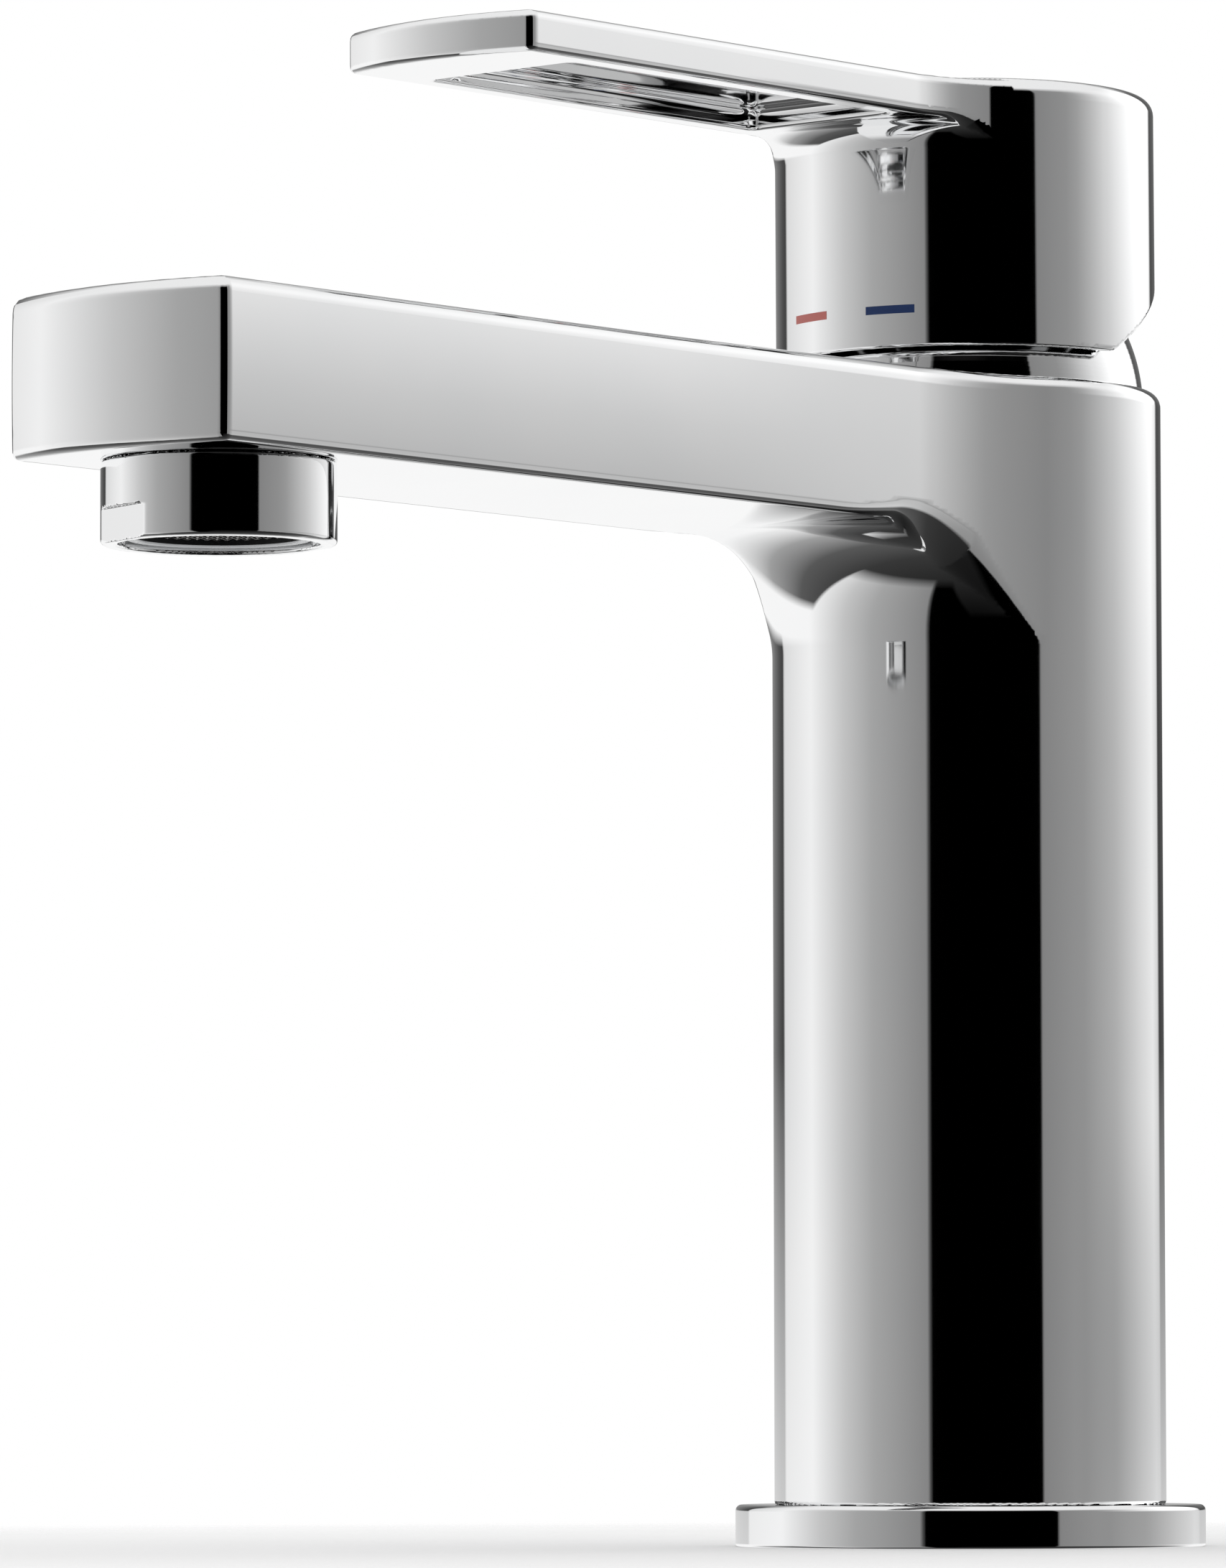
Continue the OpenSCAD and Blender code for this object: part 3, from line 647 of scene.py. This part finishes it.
def make_insert():
    """The turned insert: a bright rim, and behind the gauze a near-black core that is painted shade for
    its recess.
    """
    low, high = insert_low[2], insert_high[2]
    rim_out, rim_in, body_r = LIP_R - 0.1, gauze_high[0], insert_high[0]
    ledge = LIP_Z + LIP_H + 0.05
    outline = [
        (rim_in, low, 0.25), (rim_out, low, 0.3), (rim_out, ledge, 0.05), (body_r, ledge, 0.1),
        (body_r, high, 0.2), (rim_in + 0.4, high, 0.2), (rim_in + 0.4, high - 1, 0.1),
        (rim_in - 1, high - 1, 0.1), (rim_in - 1, low + 2, 0.1), (rim_in, low + 2, 0.1),
    ]
    piece = turned("spout_insert", outline, (0, AERATOR_Y, 0))
    place(piece, "tap", "aerator_insert", "insert_plastic", FINISHES["insert_plastic"], PAINTED_SHADE_CORE)
    # The faces inside the rim and behind the gauze get the painted-shade black in place of the insert's
    # grey.
    rim_h, painted_shade_slot = 0.9, 1
    for face in piece.data.polygons:
        off_axis = math.hypot(face.center.x, face.center.y - AERATOR_Y * MM)
        above_rim = face.center.z > (low + rim_h) * MM
        if off_axis < (rim_in - 0.1) * MM or above_rim and off_axis < (rim_in + 0.2) * MM:
            face.material_index = painted_shade_slot


def make_gauze():
    """The aerator's outlet mesh."""
    wire_r, pitch = 0.16, 1.06
    middle = (gauze_low[2] + gauze_high[2]) / 2
    piece = woven_disc("spout_gauze", gauze_high[0] - 0.15, pitch, wire_r, middle,
                       math.radians(45), (0, AERATOR_Y, 0))
    place(piece, "tap", "aerator_mesh", "steel", WIRE)


# ---- Studio and camera ----

CAMERA_PLACE = Vector((0.6646, -0.8305, 0.0141))
CAMERA_TURN = math.radians(40.875)
CAMERA_PITCH = math.radians(3.97)
CAMERA_ROLL = math.radians(-0.08)
CAMERA_LENS = 211.6

BLACK = 0.0
# The walls' light round the tap: (degrees from the camera's side, positive to its right; level)
LIGHT_ROUND = [
    (-180, 0.3), (-150, 0.08), (-143, 0.05), (-141, 0.72), (-108, 0.9), (-80, 0.56), (-60, 0.38),
    (-26, 0.24), (-25, BLACK), (41, BLACK), (42, 0.23), (70, 0.3), (95, 0.47), (120, 0.74),
    (138, 0.9), (148, 0.7), (151, 0.05), (170, 0.1), (180, 0.3),
]
# Below the horizon the walls stay as they are on the camera's side, and are bright on the far side
NEAR_SIDE = [stop for stop in LIGHT_ROUND if -100 < stop[0] < 140]
LIGHT_LOW_ROUND = [(-180, 0.95), (-108, 0.95), *NEAR_SIDE, (140, 0.95), (180, 0.95)]
HORIZON = (-0.04, 0.04)            # heights are given as a direction's Z
# How far below the horizon the walls reach before the table begins, round the tap
LIGHT_DEPTH_ROUND = [(-180, 0.33), (-105, 0.33), (-92, 0.76), (-12, 0.76), (0, 0.33), (180, 0.33)]
TABLE_EDGE = (0, 0.1)
# The table's light, from its far side (0) to the camera's side (1)
LIGHT_TABLE = [(0.0, 0.95), (0.06, 0.8), (0.15, 0.35), (0.3, 0.1), (0.5, 0.04), (1.0, 0.0)]
LIGHT_ABOVE, ABOVE_FROM = 0.85, (0.45, 0.7)
# The right-hand walls brighten upwards: (height, share of the level above)
LIGHT_RISE = [(-0.015, 0.36), (0.0, 0.46), (0.034, 0.91), (0.075, 1.0), (0.105, 1.2), (0.16, 1.7)]
LIGHT_RISE_MOST = 2.0
LIGHT_RISE_ROUND = (math.radians(62), math.radians(92))    # where that begins and is complete

FLOOR_R, FLOOR_SIDES = 320.0, 96
FLOOR_FADE = (0.06, 0.26)          # metres from the tap's axis


def make_camera():
    """The camera, about a metre away and just above the table."""
    camera = bpy.data.objects.new("camera", bpy.data.cameras.new("camera"))
    bpy.context.scene.collection.objects.link(camera)
    camera.data.lens = CAMERA_LENS
    camera.data.sensor_width = 36
    camera.data.sensor_fit = "AUTO"
    camera.data.clip_start, camera.data.clip_end = 0.05, 20
    turn = Matrix.Rotation(CAMERA_TURN, 4, "Z") @ Matrix.Rotation(math.pi / 2 + CAMERA_PITCH, 4, "X")
    camera.matrix_world = Matrix.Translation(CAMERA_PLACE) @ turn @ Matrix.Rotation(CAMERA_ROLL, 4, "Z")
    bpy.context.scene.camera = camera


def math_node(tree, operation, first, second=None):
    """A Math node; each input is a socket or a number."""
    node = tree.nodes.new("ShaderNodeMath")
    node.operation = operation
    for socket, value in zip(node.inputs, (first, second)):
        if isinstance(value, (int, float)):
            socket.default_value = value
        elif value is not None:
            tree.links.new(value, socket)
    return node.outputs["Value"]


def blend_colours(tree, factor, first, second):
    """A mix of two colours; the second is a socket or a grey level."""
    mix = tree.nodes.new("ShaderNodeMix")
    mix.data_type = "RGBA"
    first_in, second_in = [socket for socket in mix.inputs if socket.type == "RGBA"]
    tree.links.new(factor, mix.inputs["Factor"])
    tree.links.new(first, first_in)
    if isinstance(second, float):
        second_in.default_value = (second, second, second, 1)
    else:
        tree.links.new(second, second_in)
    return next(socket for socket in mix.outputs if socket.type == "RGBA")


def scale_colour(tree, colour, factor):
    """The colour times a number, which may be above 1."""
    node = tree.nodes.new("ShaderNodeVectorMath")
    node.operation = "SCALE"
    tree.links.new(colour, node.inputs[0])
    tree.links.new(factor, node.inputs["Scale"])
    return node.outputs["Vector"]


def grey_ramp(tree, value, levels, low, high):
    """A ramp of grey levels: each stop is (place between low and high, level)."""
    return ramp(tree, value, [((at - low) / (high - low), (level,) * 3) for at, level in levels])


def rise_of_walls(tree, angle, z):
    """What the walls' light is multiplied by: it grows upwards on the right-hand side."""
    low, high = LIGHT_RISE[0][0], LIGHT_RISE[-1][0]
    levels = [(height, level / LIGHT_RISE_MOST) for height, level in LIGHT_RISE]
    steeper = grey_ramp(tree, span(tree, z, 0, 1, (low, high)), levels, low, high)
    steeper = math_node(tree, "MULTIPLY", steeper, LIGHT_RISE_MOST)
    right_side = span(tree, angle, 0, 1, LIGHT_RISE_ROUND)
    extra = math_node(tree, "MULTIPLY", right_side, math_node(tree, "SUBTRACT", steeper, 1.0))
    return math_node(tree, "ADD", 1.0, extra)


def tent_light(tree):
    """Grey walls that brighten away from a black strip, a table below them and a pale top."""
    where = tree.nodes.new("ShaderNodeTexCoord")
    split = tree.nodes.new("ShaderNodeSeparateXYZ")
    tree.links.new(where.outputs["Generated"], split.inputs["Vector"])
    x, y, z = split.outputs
    sin_turn, cos_turn = math.sin(CAMERA_TURN), math.cos(CAMERA_TURN)
    near = math_node(tree, "ADD", math_node(tree, "MULTIPLY", x, sin_turn),
                     math_node(tree, "MULTIPLY", y, -cos_turn))
    right = math_node(tree, "ADD", math_node(tree, "MULTIPLY", x, cos_turn),
                      math_node(tree, "MULTIPLY", y, sin_turn))
    angle = math_node(tree, "ARCTAN2", right, near)
    turn = math_node(tree, "ADD", math_node(tree, "DIVIDE", angle, 2 * math.pi), 0.5)
    walls = grey_ramp(tree, turn, LIGHT_ROUND, -180, 180)
    walls = scale_colour(tree, walls, rise_of_walls(tree, angle, z))
    low_walls = grey_ramp(tree, turn, LIGHT_LOW_ROUND, -180, 180)
    light = blend_colours(tree, span(tree, z, 1, 0, HORIZON), walls, low_walls)
    depth = grey_ramp(tree, turn, LIGHT_DEPTH_ROUND, -180, 180)
    below = math_node(tree, "SUBTRACT", math_node(tree, "MULTIPLY", z, -1.0), depth)
    table = grey_ramp(tree, span(tree, near, 0, 1, (-1, 1)), LIGHT_TABLE, 0, 1)
    light = blend_colours(tree, span(tree, below, 0, 1, TABLE_EDGE), light, table)
    return blend_colours(tree, span(tree, z, 0, 1, ABOVE_FROM), light, LIGHT_ABOVE)


def make_world():
    """The tent's light for the chrome; the camera and matt surfaces see plain white instead."""
    world = bpy.data.worlds.new("studio")
    bpy.context.scene.world = world
    world.use_nodes = True
    tree = world.node_tree
    tree.nodes.clear()
    tent = tree.nodes.new("ShaderNodeBackground")
    tree.links.new(tent_light(tree), tent.inputs["Color"])
    white = tree.nodes.new("ShaderNodeBackground")
    white.inputs["Color"].default_value = (1, 1, 1, 1)
    path = tree.nodes.new("ShaderNodeLightPath")
    plain = math_node(tree, "ADD", path.outputs["Is Camera Ray"], path.outputs["Is Diffuse Ray"])
    choose = tree.nodes.new("ShaderNodeMixShader")
    tree.links.new(plain, choose.inputs["Fac"])
    tree.links.new(tent.outputs["Background"], choose.inputs[1])
    tree.links.new(white.outputs["Background"], choose.inputs[2])
    output = tree.nodes.new("ShaderNodeOutputWorld")
    tree.links.new(choose.outputs["Shader"], output.inputs["Surface"])


def make_floor():
    """A pale round table top that fades out."""
    turn = np.linspace(0, 2 * math.pi, FLOOR_SIDES, endpoint=False)
    points = np.stack([np.cos(turn) * FLOOR_R, np.sin(turn) * FLOOR_R, np.zeros(FLOOR_SIDES)], 1)
    floor = new_object("floor", points, [tuple(range(FLOOR_SIDES))])
    material, tree, shader = new_material("pale_floor")
    tone = ramp(tree, noise(tree, 8, 2), [(0.3, (0.95, 0.95, 0.95)), (0.7, (0.97, 0.97, 0.97))])
    tree.links.new(tone, shader.inputs["Base Color"])
    set_sockets(shader, Roughness=0.8)
    where = tree.nodes.new("ShaderNodeTexCoord")
    length = tree.nodes.new("ShaderNodeVectorMath")
    length.operation = "LENGTH"
    tree.links.new(where.outputs["Object"], length.inputs[0])
    fade = span(tree, length.outputs["Value"], 1, 0, FLOOR_FADE)
    tree.links.new(fade, shader.inputs["Alpha"])
    floor.data.materials.append(material)
    floor.visible_glossy = False       # the chrome reflects the tent's own table instead


bpy.context.scene.view_settings.view_transform = "Standard"
make_camera()
make_world()
make_floor()
finish_nodes()
make_body()
make_base_ring()
make_dome()
make_handle()
make_collar()
make_insert()
make_gauze()
